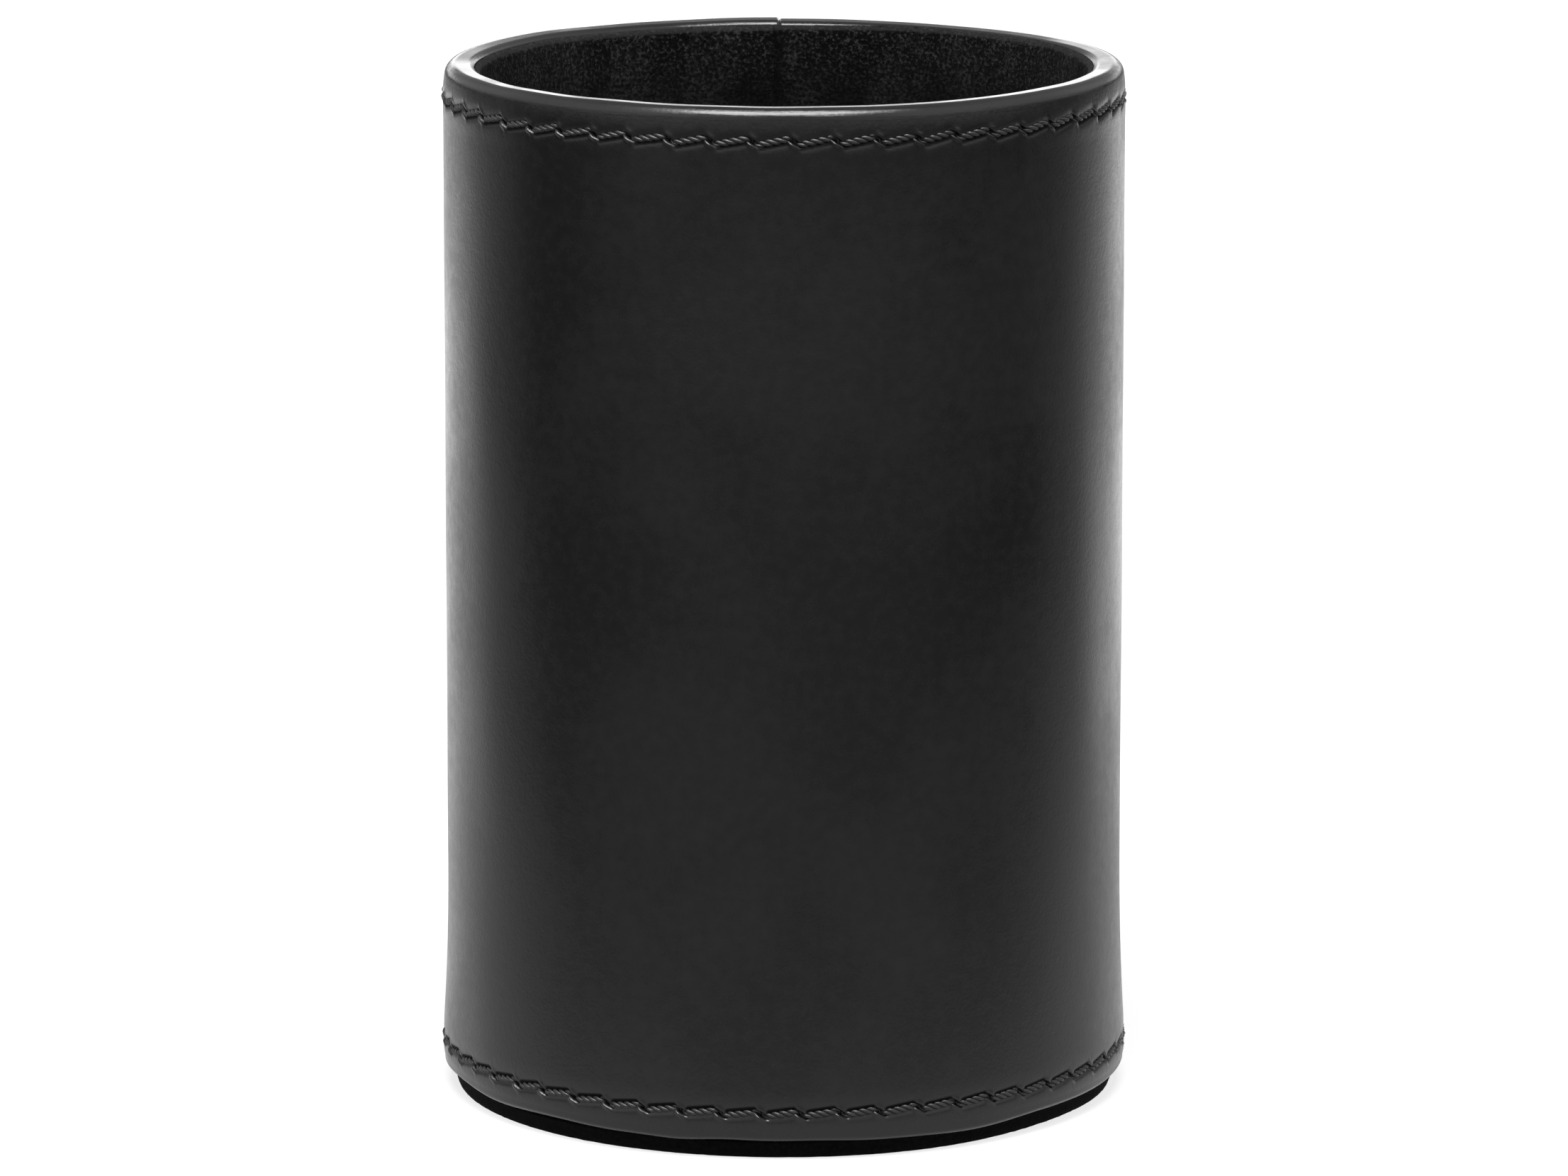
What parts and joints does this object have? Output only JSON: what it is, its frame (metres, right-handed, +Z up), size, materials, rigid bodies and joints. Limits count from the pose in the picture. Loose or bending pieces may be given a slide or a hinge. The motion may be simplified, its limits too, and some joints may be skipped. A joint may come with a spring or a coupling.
{
  "type": "dice cup",
  "caption": "Upright round dice cup: a rigid tube wrapped in smooth leather turned over the rim, suede lining, slanted hand stitching at rim and base, soft pad underneath.",
  "frame": {"origin": "centre of the base pad's underside, on the surface that the cup stands on", "axes": "+Z up along the cup's axis, towards the mouth; the back seam of the wrap is on the +Y side"},
  "size_m": [0.0658, 0.066, 0.0979],
  "materials": {
    "leather": "smooth black leather with a fine grain and a satin sheen",
    "suede": "black suede, napped side out",
    "board": "grey fibreboard",
    "pared_leather": "undyed split leather, pared thin",
    "thread": "waxed black three-ply thread",
    "felt": "dense black felt"
  },
  "bodies": {
    "root": {"outer_leather": "leather", "core_tube": "board", "bottom_backing_strip": "pared_leather", "lining_wall": "suede", "lining_floor": "suede", "base_board": "board", "base_filler": "board", "base_pad": "felt", "top_stitching": "thread", "bottom_stitching": "thread"}
  },
  "joints": []
}
